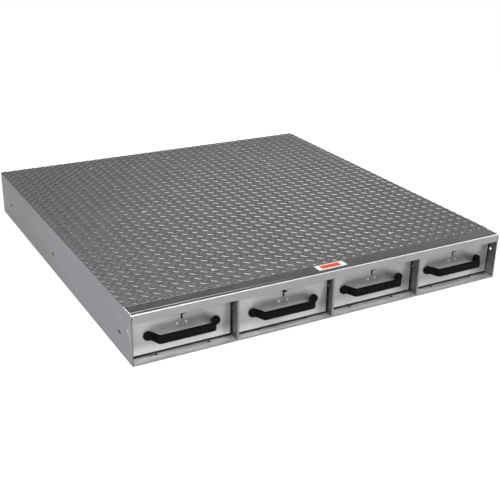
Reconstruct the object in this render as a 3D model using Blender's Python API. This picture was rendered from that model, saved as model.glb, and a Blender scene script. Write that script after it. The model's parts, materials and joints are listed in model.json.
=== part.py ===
"""Drawer unit of sheet aluminium for a vehicle floor, with a tread plate deck.

Four drawers run on telescopic slides in four equal bays. A header closes the top of
the bays at the front, and each drawer's latch bolt rises behind the strike rail.

Metres, +Z up. X runs across the front and +Y runs to the back. The origin is on the
floor, in the middle of the case's footprint. Depths are measured back from the case's
front, and the places inside a drawer are measured from the middle of its front face.
"""
import math

import bmesh
import bpy
from mathutils import Vector

# Case, driving sizes
CASE_WIDTH = 1.2192
CASE_DEPTH = 1.2446
CASE_HEIGHT = 0.1492
BAY_COUNT = 4
FIT_GAP = 0.0003

# Panels, floor and back
WALL_GAUGE = 0.003175
FLOOR_GAUGE = 0.0030
SILL_HEIGHT = 0.0048
SILL_DEPTH = 0.050
BACK_GAUGE = 0.0030

# Deck and header
DECK_GAUGE = 0.0032
LUG_HEIGHT = 0.0015
HEADER_GAUGE = 0.0020
HEADER_DEPTH = 0.051
HEADER_DROP = 0.0245
HEADER_LAP = 0.0015
HEADER_BEND = 0.0030
RAIL_GAUGE = 0.0020

# Holes in the case
LOCK_HOLE_DIAMETER = 0.0095
LOCK_HOLE_DEPTH = 0.0240
LOCK_HOLE_DROP = 0.0330
SILL_HOLE_DIAMETER = 0.0055
SILL_HOLE_DEPTH = 0.0250
SILL_HOLE_SPACING = 0.1524
CUT_OVERRUN = 0.0020
HOLE_SIDES = 24

# Drawer front and box
DRAWER_RECESS = 0.0300
FRONT_GAUGE = 0.0030
FRONT_SIDE_GAP = 0.0060
FRONT_LOW_EDGE = 0.0105
FRONT_TOP_GAP = 0.0025
BOX_GAUGE = 0.0016
BOX_LOW_EDGE = 0.0125
BOX_TOP_GAP = 0.0045
BOX_REAR_GAP = 0.0400
BOX_RIM = 0.0060

# Slides
SLIDE_THICKNESS = 0.0127
SLIDE_HEIGHT = 0.0457
SLIDE_RISE = 0.0564
SLIDE_GAUGE = 0.0012
SLIDE_LIP = 0.0015
SLIDE_RUN = 0.0004
SLIDE_WEB_GAP = 0.0013
SLIDE_SETBACK = 0.0250

# Handle
HANDLE_SPAN = 0.1950
HANDLE_DROP = 0.0015
HANDLE_REACH = 0.0360
HANDLE_INSET = 0.0220
GRIP_HEIGHT = 0.0230
GRIP_THICKNESS = 0.0110
GRIP_EDGE_RADIUS = 0.0035
GRIP_BEND_RADIUS = 0.0100
ROOT_HEIGHT = 0.0220
BOSS_DIAMETER = 0.0265
BOSS_THICKNESS = 0.0085
BOSS_EDGE = 0.0030

# Latch
LATCH_PLAY = 0.0080
NOSE_GAP = 0.0004
NOSE_RAMP = 0.0060
BOLT_GAUGE = 0.0040
BOLT_WIDTH = 0.0140
BOLT_HEIGHT = 0.0376
SLOT_WIDTH = 0.0060
SLOT_DROP = 0.0110
SLOT_HEIGHT = 0.0230
THUMB_DROP = 0.0030
THUMB_GAUGE = 0.0030
THUMB_ARM_WIDTH = 0.0050
THUMB_WIDTH = 0.0120
THUMB_REACH = 0.0080
THUMB_PAD_LENGTH = 0.0060
HOUSING_GAUGE = 0.0016
HOUSING_FLANGE = 0.0090
HOUSING_DROP = 0.0160
HOUSING_HEIGHT = 0.0460
SPRING_WIRE = 0.0008
SPRING_DIAMETER = 0.0036
SPRING_TURNS = 5
TURN_STEPS = 10
WIRE_SIDES = 6

# How far each drawer stands forward, as a share of its latch's play
PROUD_SHARES = (0.0, 1.0, 0.0, 0.0)

# Places that follow from the sizes above
CASE_FRONT = -CASE_DEPTH / 2
BAY_PITCH = CASE_WIDTH / BAY_COUNT
BAY_HALF = BAY_PITCH / 2 - WALL_GAUGE
DECK_UNDERSIDE = CASE_HEIGHT - LUG_HEIGHT - DECK_GAUGE
PANEL_TOP = DECK_UNDERSIDE - FIT_GAP
HEADER_TOP = DECK_UNDERSIDE + HEADER_GAUGE
OPENING_TOP = HEADER_TOP - HEADER_DROP
SIDE_INNER = CASE_WIDTH / 2 - WALL_GAUGE
REAR_INNER = CASE_DEPTH - BACK_GAUGE - FIT_GAP
LOCK_HOLE_RISE = OPENING_TOP - LOCK_HOLE_DROP
FRONT_TOP = OPENING_TOP - FRONT_TOP_GAP
HANDLE_RISE = (FRONT_LOW_EDGE + FRONT_TOP) / 2 - HANDLE_DROP
BOX_FRONT = FRONT_GAUGE + FIT_GAP
BOX_INNER_FRONT = BOX_FRONT + BOX_GAUGE
BOX_REAR = REAR_INNER - DRAWER_RECESS - BOX_REAR_GAP
BOX_HALF = BAY_HALF - SLIDE_THICKNESS
BOX_TOP = OPENING_TOP - BOX_TOP_GAP
SLIDE_FRONT = BOX_FRONT + SLIDE_SETBACK
SLIDE_REAR = BOX_REAR - SLIDE_SETBACK
BOLT_FRONT = BOX_INNER_FRONT + FIT_GAP
BOLT_REAR = BOLT_FRONT + BOLT_GAUGE
BOLT_TOP = OPENING_TOP - NOSE_GAP
BOLT_LOW_EDGE = BOLT_TOP - BOLT_HEIGHT
SLOT_TOP = OPENING_TOP - SLOT_DROP
THUMB_RISE = SLOT_TOP - THUMB_DROP
RAIL_REAR = DRAWER_RECESS + BOLT_FRONT - LATCH_PLAY - FIT_GAP
RAIL_FRONT = RAIL_REAR - RAIL_GAUGE


# Building blocks

def clear_scene():
    for obj in list(bpy.data.objects):
        bpy.data.objects.remove(obj, do_unlink=True)


def finish(name, color, roughness, metallic):
    material = bpy.data.materials.new(name)
    material.use_nodes = True
    shader = material.node_tree.nodes["Principled BSDF"]
    shader.inputs["Base Color"].default_value = (*color, 1.0)
    shader.inputs["Roughness"].default_value = roughness
    shader.inputs["Metallic"].default_value = metallic
    material.diffuse_color = (*color, 1.0)
    return material


def anchor(name, location):
    """An empty that carries the pieces which move together."""
    empty = bpy.data.objects.new(name, None)
    empty.location = location
    bpy.context.collection.objects.link(empty)
    return empty


def add_object(name, bm, material=None, parent=None, smooth=False):
    bmesh.ops.recalc_face_normals(bm, faces=bm.faces)
    mesh = bpy.data.meshes.new(name)
    bm.to_mesh(mesh)
    bm.free()
    if smooth:
        mesh.shade_smooth()
        mesh.set_sharp_from_angle(angle=math.radians(35))
    obj = bpy.data.objects.new(name, mesh)
    bpy.context.collection.objects.link(obj)
    obj.parent = parent
    if material:
        mesh.materials.append(material)
    return obj


def modify(obj, other, operation):
    """Cut or join another object's shape, which stays in the file as a guide."""
    other.hide_render = True
    other.display_type = "WIRE"
    modifier = obj.modifiers.new(other.name, "BOOLEAN")
    modifier.operation = operation
    modifier.solver = "EXACT"
    modifier.object = other


def placed(axis, a, b, along):
    """A point of an outline: (y, z) across X, (x, z) across Y, (x, y) across Z."""
    if axis == "X":
        return (along, a, b)
    if axis == "Y":
        return (a, along, b)
    return (a, b, along)


def add_prism(bm, outline, axis, start, end):
    near = [bm.verts.new(placed(axis, a, b, start)) for a, b in outline]
    far = [bm.verts.new(placed(axis, a, b, end)) for a, b in outline]
    bm.faces.new(near)
    bm.faces.new(far)
    for i in range(len(outline)):
        bm.faces.new((near[i - 1], near[i], far[i], far[i - 1]))


def add_box(bm, low, high):
    outline = [(low[0], low[1]), (high[0], low[1]), (high[0], high[1]), (low[0], high[1])]
    add_prism(bm, outline, "Z", low[2], high[2])


def circle(a, b, diameter, sides):
    turns = [2 * math.pi * i / sides for i in range(sides)]
    return [(a + diameter / 2 * math.cos(t), b + diameter / 2 * math.sin(t)) for t in turns]


def add_sheet(bm, outline, holes, axis, start, end):
    """A flat panel with round holes, filled between its loops and drawn out to its gauge."""
    edges = []
    for loop in [outline, *holes]:
        verts = [bm.verts.new(placed(axis, a, b, start)) for a, b in loop]
        edges += [bm.edges.new((verts[i - 1], verts[i])) for i in range(len(verts))]
    bmesh.ops.triangle_fill(bm, use_beauty=True, edges=edges)
    drawn = bmesh.ops.extrude_face_region(bm, geom=bm.faces[:])
    moved = [item for item in drawn["geom"] if isinstance(item, bmesh.types.BMVert)]
    step = Vector(placed(axis, 0, 0, end - start))
    bmesh.ops.translate(bm, vec=step, verts=moved)


def rounded(points, radius, steps):
    """A line through the points whose inner corners are arcs of the radius."""
    line = [Vector(points[0])]
    for before, corner, after in zip(points, points[1:], points[2:]):
        corner = Vector(corner)
        back = (Vector(before) - corner).normalized()
        ahead = (Vector(after) - corner).normalized()
        half = back.angle(ahead) / 2
        middle = corner + (back + ahead).normalized() * radius / math.sin(half)
        first = (corner + back * radius / math.tan(half) - middle).normalized()
        last = (corner + ahead * radius / math.tan(half) - middle).normalized()
        for i in range(steps + 1):
            line.append(middle + first.slerp(last, i / steps) * radius)
    line.append(Vector(points[-1]))
    return line


def rounded_rectangle(width, height, radius, steps):
    points = []
    for corner, (sx, sy) in enumerate(((1, 1), (-1, 1), (-1, -1), (1, -1))):
        for i in range(steps + 1):
            turn = math.pi / 2 * (corner + i / steps)
            across = sx * (width / 2 - radius) + radius * math.cos(turn)
            up = sy * (height / 2 - radius) + radius * math.sin(turn)
            points.append((across, up))
    return points


def add_rings(bm, rings):
    """Skin a list of rings of equal count, and close both ends."""
    rows = [[bm.verts.new(point) for point in ring] for ring in rings]
    for row, following in zip(rows, rows[1:]):
        for i in range(len(row)):
            bm.faces.new((row[i - 1], row[i], following[i], following[i - 1]))
    bm.faces.new(rows[0])
    bm.faces.new(rows[-1])


# Case

def bay_middles():
    return [(i + 0.5) * BAY_PITCH - CASE_WIDTH / 2 for i in range(BAY_COUNT)]


def divider_middles():
    return [(i + 1) * BAY_PITCH - CASE_WIDTH / 2 for i in range(BAY_COUNT - 1)]


def wall_front():
    """The front of a wall from the header's flange down, notched round the header's lip."""
    lip_rear = CASE_FRONT + HEADER_GAUGE + FIT_GAP
    lip_low = OPENING_TOP - FIT_GAP
    return [(lip_rear, PANEL_TOP), (lip_rear, lip_low), (CASE_FRONT, lip_low)]


def lock_hole():
    return circle(CASE_FRONT + LOCK_HOLE_DEPTH, LOCK_HOLE_RISE, LOCK_HOLE_DIAMETER, HOLE_SIDES)


def make_base_pan(metal):
    rear = CASE_FRONT + REAR_INNER
    sill_rear = CASE_FRONT + SILL_DEPTH
    outline = [(CASE_FRONT, 0), (rear, 0), (rear, FLOOR_GAUGE), (sill_rear, FLOOR_GAUGE),
               (sill_rear, SILL_HEIGHT), (CASE_FRONT, SILL_HEIGHT)]
    half = SIDE_INNER - FIT_GAP
    bm = bmesh.new()
    add_prism(bm, outline, "X", -half, half)
    pan = add_object("base_pan", bm, metal)

    cutter = bmesh.new()
    low, high = -CUT_OVERRUN, SILL_HEIGHT + CUT_OVERRUN
    for x in divider_middles():
        reach = WALL_GAUGE + FIT_GAP
        add_box(cutter, (x - reach, CASE_FRONT - CUT_OVERRUN, low), (x + reach, sill_rear + FIT_GAP, high))
    for x in bay_middles():
        for side in (-1, 1):
            hole = circle(x + side * SILL_HOLE_SPACING / 2, CASE_FRONT + SILL_HOLE_DEPTH,
                          SILL_HOLE_DIAMETER, HOLE_SIDES)
            add_prism(cutter, hole, "Z", low, high)
    modify(pan, add_object("cut_base_pan", cutter), "DIFFERENCE")


def make_side_panels(metal):
    rear = CASE_FRONT + CASE_DEPTH
    outline = [(CASE_FRONT, 0), (rear, 0), (rear, PANEL_TOP), *wall_front()]
    for name, side in (("left_side_panel", -1), ("right_side_panel", 1)):
        bm = bmesh.new()
        add_sheet(bm, outline, [lock_hole()], "X", side * SIDE_INNER, side * CASE_WIDTH / 2)
        add_object(name, bm, metal)


def make_dividers(metal):
    """Plates that stand on the floor sheet, with a foot at the front that fills the sill's notch."""
    rear = CASE_FRONT + REAR_INNER
    foot_rear = CASE_FRONT + SILL_DEPTH
    seat = FLOOR_GAUGE + FIT_GAP
    slot_front = CASE_FRONT + RAIL_FRONT - FIT_GAP
    slot_rear = CASE_FRONT + RAIL_REAR + FIT_GAP
    slot_low = OPENING_TOP - FIT_GAP
    outline = [(CASE_FRONT, 0), (foot_rear, 0), (foot_rear, seat), (rear, seat), (rear, PANEL_TOP),
               (slot_rear, PANEL_TOP), (slot_rear, slot_low), (slot_front, slot_low),
               (slot_front, PANEL_TOP), *wall_front()]
    for number, x in enumerate(divider_middles(), 1):
        bm = bmesh.new()
        add_sheet(bm, outline, [lock_hole()], "X", x - WALL_GAUGE, x + WALL_GAUGE)
        add_object(f"divider_{number}", bm, metal)


def make_back_panel(metal):
    half = SIDE_INNER - FIT_GAP
    rear = CASE_FRONT + CASE_DEPTH
    bm = bmesh.new()
    add_box(bm, (-half, rear - BACK_GAUGE, 0), (half, rear, PANEL_TOP))
    add_object("back_panel", bm, metal)


def make_tread_plate(metal):
    """The deck, as thick as the plate with its raised lugs."""
    half = CASE_WIDTH / 2
    bm = bmesh.new()
    add_box(bm, (-half, CASE_FRONT + HEADER_DEPTH + FIT_GAP, DECK_UNDERSIDE),
            (half, CASE_FRONT + CASE_DEPTH, CASE_HEIGHT))
    add_object("tread_plate", bm, metal)


def make_front_header(metal):
    rear = CASE_FRONT + HEADER_DEPTH
    inner = CASE_FRONT + HEADER_GAUGE
    corner = [(CASE_FRONT, OPENING_TOP, 0), (CASE_FRONT, HEADER_TOP, 0), (rear, HEADER_TOP, 0)]
    outer = [(point.x, point.y) for point in rounded(corner, HEADER_BEND, 4)]
    outline = [*outer, (rear, DECK_UNDERSIDE), (inner, DECK_UNDERSIDE), (inner, OPENING_TOP)]
    half = CASE_WIDTH / 2 + HEADER_LAP
    bm = bmesh.new()
    add_prism(bm, outline, "X", -half, half)
    add_object("front_header", bm, metal)


def make_strike_rail(metal):
    """A bar on edge under the header's flange, let into a slot in each divider."""
    half = SIDE_INNER - FIT_GAP
    bm = bmesh.new()
    add_box(bm, (-half, CASE_FRONT + RAIL_FRONT, OPENING_TOP), (half, CASE_FRONT + RAIL_REAR, PANEL_TOP))
    add_object("strike_rail", bm, metal)


# Slides

def slide_outlines():
    """Sections of the three members, as the distance from the wall and the height from the middle.

    Each member nests in the next one and is held in by its lips.
    """
    web = FIT_GAP
    half = SLIDE_HEIGHT / 2
    inner_web = SLIDE_THICKNESS - FIT_GAP - SLIDE_GAUGE
    edge = inner_web - SLIDE_WEB_GAP
    outer = channel_outline(web, edge, half)

    web += SLIDE_GAUGE + SLIDE_RUN
    half -= SLIDE_GAUGE + SLIDE_RUN
    edge -= SLIDE_GAUGE + SLIDE_RUN
    middle = channel_outline(web, edge, half)

    head_start = web + SLIDE_GAUGE + SLIDE_RUN
    head_end = edge - SLIDE_GAUGE - SLIDE_RUN
    head_half = half - SLIDE_GAUGE - SLIDE_RUN
    leg_half = head_half - SLIDE_LIP
    upper = [(inner_web + SLIDE_GAUGE, leg_half), (head_end, leg_half), (head_end, head_half),
             (head_start, head_half), (head_start, leg_half - SLIDE_GAUGE),
             (inner_web, leg_half - SLIDE_GAUGE)]
    inner = upper + mirrored(upper)
    return {"outer": outer, "middle": middle, "inner": inner}


def channel_outline(web, edge, half):
    """A channel that opens away from the wall, with lips that turn in at its edges."""
    lip = half - SLIDE_GAUGE - SLIDE_LIP
    upper = [(web, half), (edge, half), (edge, lip), (edge - SLIDE_GAUGE, lip),
             (edge - SLIDE_GAUGE, half - SLIDE_GAUGE), (web + SLIDE_GAUGE, half - SLIDE_GAUGE)]
    return upper + mirrored(upper)


def mirrored(upper):
    return [(across, -up) for across, up in reversed(upper)]


def make_slide_member(name, outline, side, parent, metal):
    section = [(side * (BAY_HALF - across), SLIDE_RISE + up) for across, up in outline]
    bm = bmesh.new()
    add_prism(bm, section, "Y", SLIDE_FRONT, SLIDE_REAR)
    add_object(name, bm, metal, parent)


# Drawer

def make_latch_slot(name, parent):
    """The upright slot that the thumb tab moves in, cut through the front and the box."""
    half = SLOT_WIDTH / 2
    low = SLOT_TOP - SLOT_HEIGHT
    outline = [(-half, low), (half, low), (half, SLOT_TOP), (-half, SLOT_TOP)]
    bm = bmesh.new()
    add_prism(bm, outline, "Y", -CUT_OVERRUN, BOX_INNER_FRONT + CUT_OVERRUN)
    return add_object(name, bm, parent=parent)


def make_drawer_front(number, parent, slot, metal):
    half = BAY_HALF - FRONT_SIDE_GAP
    bm = bmesh.new()
    add_box(bm, (-half, 0, FRONT_LOW_EDGE), (half, FRONT_GAUGE, FRONT_TOP))
    front = add_object(f"drawer_{number}_front", bm, metal, parent)
    modify(front, slot, "DIFFERENCE")


def make_drawer_box(number, parent, slot, metal):
    """A folded tray whose side walls end in a rim turned out over the slides."""
    rim_half = BOX_HALF + BOX_RIM
    rim_low = BOX_TOP - BOX_GAUGE
    right = [(BOX_HALF, BOX_LOW_EDGE), (BOX_HALF, rim_low), (rim_half, rim_low), (rim_half, BOX_TOP)]
    outline = right + [(-x, z) for x, z in reversed(right)]
    bm = bmesh.new()
    add_prism(bm, outline, "Y", BOX_FRONT, BOX_REAR)
    box = add_object(f"drawer_{number}_box", bm, metal, parent)

    half = BOX_HALF - BOX_GAUGE
    cutter = bmesh.new()
    add_box(cutter, (-half, BOX_INNER_FRONT, BOX_LOW_EDGE + BOX_GAUGE),
            (half, BOX_REAR - BOX_GAUGE, BOX_TOP + CUT_OVERRUN))
    modify(box, add_object(f"cut_drawer_{number}_box", cutter, parent=parent), "DIFFERENCE")
    modify(box, slot, "DIFFERENCE")


def handle_rings():
    """Rings along the bent grip bar, which grows taller down its legs to the bosses."""
    span_half = HANDLE_SPAN / 2
    grip_half = span_half - HANDLE_INSET
    root = -FIT_GAP - BOSS_EDGE
    line = rounded([(-span_half, root, 0), (-grip_half, -HANDLE_REACH, 0),
                    (grip_half, -HANDLE_REACH, 0), (span_half, root, 0)], GRIP_BEND_RADIUS, 6)
    rings = []
    for i, point in enumerate(line):
        ahead = (line[min(i + 1, len(line) - 1)] - line[max(i - 1, 0)]).normalized()
        across = Vector((ahead.y, -ahead.x, 0))
        height = ROOT_HEIGHT + (GRIP_HEIGHT - ROOT_HEIGHT) * point.y / -HANDLE_REACH
        section = rounded_rectangle(GRIP_THICKNESS, height, GRIP_EDGE_RADIUS, 3)
        rings.append([point + across * a + Vector((0, 0, b)) for a, b in section])
    return rings


def add_boss(bm, x):
    """A round boss with a rounded front edge, from its seat forward."""
    seat = -FIT_GAP
    shoulder = seat - BOSS_THICKNESS + BOSS_EDGE
    steps = 3
    profile = [(BOSS_DIAMETER / 2, seat)]
    for i in range(steps + 1):
        turn = math.pi / 2 * i / steps
        radius = BOSS_DIAMETER / 2 - BOSS_EDGE * (1 - math.cos(turn))
        profile.append((radius, shoulder - BOSS_EDGE * math.sin(turn)))
    rings = [[Vector((a, y, b)) for a, b in circle(x, 0, 2 * radius, 2 * HOLE_SIDES)]
             for radius, y in profile]
    add_rings(bm, rings)


def make_handle(number, parent, black):
    bm = bmesh.new()
    add_rings(bm, handle_rings())
    handle = add_object(f"drawer_{number}_handle", bm, black, parent, smooth=True)
    handle.location.z = HANDLE_RISE
    for name, side in (("left", -1), ("right", 1)):
        boss = bmesh.new()
        add_boss(boss, side * HANDLE_SPAN / 2)
        guide = add_object(f"{name}_boss_{number}", boss, parent=parent, smooth=True)
        guide.location.z = HANDLE_RISE
        modify(handle, guide, "UNION")


# Latch

def make_latch_bolt(number, parent, steel):
    """A flat bolt with a ramp behind its nose, and an arm with a thumb tab at the front."""
    half = BOLT_WIDTH / 2
    ramp_depth = BOLT_GAUGE / 2
    outline = [(BOLT_FRONT, BOLT_LOW_EDGE), (BOLT_REAR, BOLT_LOW_EDGE), (BOLT_REAR, BOLT_TOP - NOSE_RAMP),
               (BOLT_REAR - ramp_depth, BOLT_TOP), (BOLT_FRONT, BOLT_TOP)]
    bm = bmesh.new()
    add_prism(bm, outline, "X", -half, half)
    bolt = add_object(f"latch_{number}_bolt", bm, steel, parent)

    arm_half = THUMB_ARM_WIDTH / 2
    thumb_half = THUMB_WIDTH / 2
    root = BOLT_FRONT + BOLT_GAUGE / 2
    pad_rear = THUMB_PAD_LENGTH - THUMB_REACH
    arm = [(-arm_half, root), (-arm_half, pad_rear), (-thumb_half, pad_rear), (-thumb_half, -THUMB_REACH),
           (thumb_half, -THUMB_REACH), (thumb_half, pad_rear), (arm_half, pad_rear), (arm_half, root)]
    tab = bmesh.new()
    add_prism(tab, arm, "Z", THUMB_RISE - THUMB_GAUGE / 2, THUMB_RISE + THUMB_GAUGE / 2)
    modify(bolt, add_object(f"thumb_tab_{number}", tab, parent=parent), "UNION")


def make_latch_housing(number, parent, steel):
    """A hat section on the box's front wall: two flanges, and a channel with a floor for the spring."""
    low = BOLT_LOW_EDGE - HOUSING_DROP - HOUSING_GAUGE
    high = low + HOUSING_HEIGHT
    inner = BOLT_WIDTH / 2 + FIT_GAP
    outer = inner + HOUSING_GAUGE
    reach = outer + HOUSING_FLANGE
    seat = BOLT_FRONT
    crown = BOLT_REAR + FIT_GAP
    right = [(reach, seat), (reach, seat + HOUSING_GAUGE), (outer, seat + HOUSING_GAUGE),
             (outer, crown + HOUSING_GAUGE)]
    outline = right + [(-x, y) for x, y in reversed(right)]
    bm = bmesh.new()
    add_prism(bm, outline, "Z", low, high)
    housing = add_object(f"latch_{number}_housing", bm, steel, parent)
    channel = bmesh.new()
    add_box(channel, (-inner, seat - CUT_OVERRUN, low + HOUSING_GAUGE), (inner, crown, high + CUT_OVERRUN))
    modify(housing, add_object(f"cut_housing_{number}", channel, parent=parent), "DIFFERENCE")


def spring_line():
    """Points of the helix from the housing's floor to the bolt's lower edge."""
    low = BOLT_LOW_EDGE - HOUSING_DROP + FIT_GAP + SPRING_WIRE / 2
    high = BOLT_LOW_EDGE - FIT_GAP - SPRING_WIRE / 2
    middle = (BOLT_FRONT + BOLT_REAR) / 2
    radius = (SPRING_DIAMETER - SPRING_WIRE) / 2
    count = SPRING_TURNS * TURN_STEPS
    line = []
    for i in range(count + 1):
        turn = 2 * math.pi * i / TURN_STEPS
        rise = low + (high - low) * i / count
        line.append(Vector((radius * math.cos(turn), middle + radius * math.sin(turn), rise)))
    return line


def make_latch_spring(number, parent, steel):
    line = spring_line()
    rings = []
    for i, point in enumerate(line):
        ahead = (line[min(i + 1, len(line) - 1)] - line[max(i - 1, 0)]).normalized()
        side = ahead.cross(Vector((0, 0, 1))).normalized()
        up = side.cross(ahead)
        rings.append([point + side * a + up * b for a, b in circle(0, 0, SPRING_WIRE, WIRE_SIDES)])
    bm = bmesh.new()
    add_rings(bm, rings)
    add_object(f"latch_{number}_spring", bm, steel, parent, smooth=True)


def spring_gap():
    """The least gap between one turn of the spring's wire and the next."""
    line = spring_line()
    far = TURN_STEPS // 2
    spans = [(b - a).length for i, a in enumerate(line) for b in line[i + far:]]
    return min(spans) - SPRING_WIRE


# Assembly

def make_drawer(number, x, proud, metals):
    """One bay's slides, drawer, handle and latch, with the drawer standing forward by proud."""
    front = CASE_FRONT + DRAWER_RECESS
    drawer = anchor(f"drawer_{number}_slide_axis", (x, front - proud, 0))
    anchors = {"outer": anchor(f"bay_{number}_rail_seat", (x, front, 0)),
               "middle": anchor(f"middle_{number}_slide_axis", (x, front - proud / 2, 0)),
               "inner": drawer}
    for member, outline in slide_outlines().items():
        for hand, side in (("left", -1), ("right", 1)):
            name = f"slide_{number}_{hand}_{member}"
            make_slide_member(name, outline, side, anchors[member], metals["zinc"])

    slot = make_latch_slot(f"cut_latch_slot_{number}", drawer)
    make_drawer_front(number, drawer, slot, metals["brushed"])
    make_drawer_box(number, drawer, slot, metals["mill"])
    make_handle(number, drawer, metals["black"])
    make_latch_housing(number, drawer, metals["zinc"])

    latch = anchor(f"latch_{number}_slide_axis", (0, 0, 0))
    latch.parent = drawer
    make_latch_bolt(number, latch, metals["dark_zinc"])
    make_latch_spring(number, drawer, metals["zinc"])


def build():
    clear_scene()
    metals = {
        "tread": finish("tread_aluminium", (0.16, 0.165, 0.175), 0.42, 1.0),
        "header": finish("header_aluminium", (0.45, 0.45, 0.45), 0.38, 1.0),
        "mill": finish("mill_aluminium", (0.42, 0.43, 0.45), 0.45, 1.0),
        "brushed": finish("brushed_aluminium", (0.62, 0.62, 0.63), 0.28, 1.0),
        "zinc": finish("zinc_steel", (0.55, 0.55, 0.56), 0.35, 1.0),
        "black": finish("black_nylon", (0.012, 0.012, 0.013), 0.48, 0.0),
        "dark_zinc": finish("dark_zinc_steel", (0.045, 0.045, 0.047), 0.42, 1.0),
    }
    make_base_pan(metals["mill"])
    make_side_panels(metals["mill"])
    make_dividers(metals["mill"])
    make_back_panel(metals["mill"])
    make_tread_plate(metals["tread"])
    make_front_header(metals["header"])
    make_strike_rail(metals["mill"])
    for number, (x, share) in enumerate(zip(bay_middles(), PROUD_SHARES), 1):
        make_drawer(number, x, share * LATCH_PLAY, metals)
    print("least gap between the spring's turns, in mm:", round(1000 * spring_gap(), 2))


build()
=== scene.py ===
# %% [markdown]
# # Drawer unit of sheet aluminium with a tread plate deck
# A low case of bare aluminium sheet holds four wide drawers side by side. Its top is tread
# plate, a folded header closes the front above the drawers, and each drawer has a black bow
# handle and a spring latch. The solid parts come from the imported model, which is the frame.
# This lesson adds what a solid model leaves out: the raised lugs, the welds and fasteners,
# the moulded grips and the finish of each metal.

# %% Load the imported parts
import json
import math

import bmesh
import bpy
from mathutils import Matrix, Vector


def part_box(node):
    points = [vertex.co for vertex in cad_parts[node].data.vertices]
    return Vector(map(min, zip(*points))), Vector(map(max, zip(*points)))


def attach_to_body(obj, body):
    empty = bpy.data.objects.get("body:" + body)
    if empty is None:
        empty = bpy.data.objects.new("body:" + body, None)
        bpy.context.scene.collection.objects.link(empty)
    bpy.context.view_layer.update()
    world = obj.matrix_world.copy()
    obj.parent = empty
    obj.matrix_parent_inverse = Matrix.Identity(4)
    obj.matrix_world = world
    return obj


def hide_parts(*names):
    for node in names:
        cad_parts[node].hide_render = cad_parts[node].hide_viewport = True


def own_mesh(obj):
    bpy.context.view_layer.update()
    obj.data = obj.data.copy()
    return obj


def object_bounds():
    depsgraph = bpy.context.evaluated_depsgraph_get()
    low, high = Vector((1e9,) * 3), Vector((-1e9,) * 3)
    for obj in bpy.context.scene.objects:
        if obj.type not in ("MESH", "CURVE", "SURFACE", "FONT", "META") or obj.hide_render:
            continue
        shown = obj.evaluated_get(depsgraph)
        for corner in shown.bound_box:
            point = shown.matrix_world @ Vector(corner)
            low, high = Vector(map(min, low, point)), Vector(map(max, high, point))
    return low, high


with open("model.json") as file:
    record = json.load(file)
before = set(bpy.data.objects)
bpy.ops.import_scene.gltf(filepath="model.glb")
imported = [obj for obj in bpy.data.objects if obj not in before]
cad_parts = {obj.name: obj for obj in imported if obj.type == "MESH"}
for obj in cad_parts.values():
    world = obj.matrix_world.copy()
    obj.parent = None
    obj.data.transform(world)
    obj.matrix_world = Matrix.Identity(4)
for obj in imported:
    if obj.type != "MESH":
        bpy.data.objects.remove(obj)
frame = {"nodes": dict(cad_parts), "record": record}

scene = bpy.context.scene
cad_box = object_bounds()
left, front_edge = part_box("left_side_panel")[0][:2]
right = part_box("right_side_panel")[1].x
bays = (1, 2, 3, 4)
bay_pitch = 0.3048
quarter = math.pi / 2  # of a full turn
print("case width in mm:", round(1000 * (right - left), 1))

# %% [markdown]
# ## Helpers
# The same few steps come back in every section, so each is written once. A node takes values
# and other nodes' outputs alike. A shape is built from rings of points, which are joined by
# bands of faces and closed at both ends, and is then kept as a mesh.

# %% Node helpers
def three(value):
    """Three equal numbers, unless there are three already."""
    return (value,) * 3 if isinstance(value, (int, float)) else value


def fill(tree, made, sockets):
    """Link each socket to the output that is given for it, or set it to the value."""
    for key, value in sockets.items():
        if isinstance(value, bpy.types.NodeSocket):
            tree.links.new(value, made.inputs[key])
        elif value is not None:
            made.inputs[key].default_value = value


def node(tree, kind, *inputs, **values):
    """A node with its first sockets filled in order, and properties and sockets by name."""
    made = tree.nodes.new(kind)
    sockets = dict(enumerate(inputs))
    for key, value in values.items():
        if hasattr(made, key):
            setattr(made, key, value)
        else:
            sockets[key.replace("_", " ")] = value
    fill(tree, made, sockets)
    return made


def calc(tree, operation, *inputs):
    return node(tree, "ShaderNodeMath", *inputs, operation=operation).outputs[0]


def vector(tree, operation, *inputs, **values):
    return node(tree, "ShaderNodeVectorMath", *inputs, operation=operation, **values).outputs[0]


def combined(tree, *parts):
    return node(tree, "ShaderNodeCombineXYZ", *parts).outputs[0]


def remap(tree, value, from_low, from_high, to_low, to_high):
    return node(tree, "ShaderNodeMapRange", Value=value, From_Min=from_low, From_Max=from_high,
                To_Min=to_low, To_Max=to_high).outputs[0]


def emptied(owner):
    """The tree of a world or material, without nodes."""
    owner.use_nodes = True
    owner.node_tree.nodes.clear()
    return owner.node_tree


# %% Mesh helpers
def show(name, mesh, *materials):
    """Put a mesh in the scene as an object."""
    mesh.name = name
    for material in materials:
        mesh.materials.append(material)
    piece = bpy.data.objects.new(name, mesh)
    scene.collection.objects.link(piece)
    return piece


def as_mesh(bm, name, outward=True, smooth=False):
    """Keep a shape as a mesh, with its faces turned outward."""
    if outward:
        bmesh.ops.recalc_face_normals(bm, faces=bm.faces)
    mesh = bpy.data.meshes.new(name)
    bm.to_mesh(mesh)
    bm.free()
    if smooth:
        mesh.shade_smooth()
    return mesh


def steps(low, high, count):
    """Even steps from one value to another, both included."""
    return [low + (high - low) * i / count for i in range(count + 1)]


def angles(count, shift=0.0):
    """A full turn in equal steps."""
    return [2 * math.pi * (i + shift) / count for i in range(count)]


def banded(bm, rings):
    """Bands of faces between rings that have the same number of points."""
    for start, end in zip(rings, rings[1:]):
        for i in range(len(start)):
            ahead = (i + 1) % len(start)
            bm.faces.new((start[i], start[ahead], end[ahead], end[i]))


def closed(bm, rings):
    """Bands between the rings, and a face on the first and the last ring."""
    banded(bm, rings)
    bm.faces.new(rings[0])
    bm.faces.new(reversed(rings[-1]))


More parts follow.
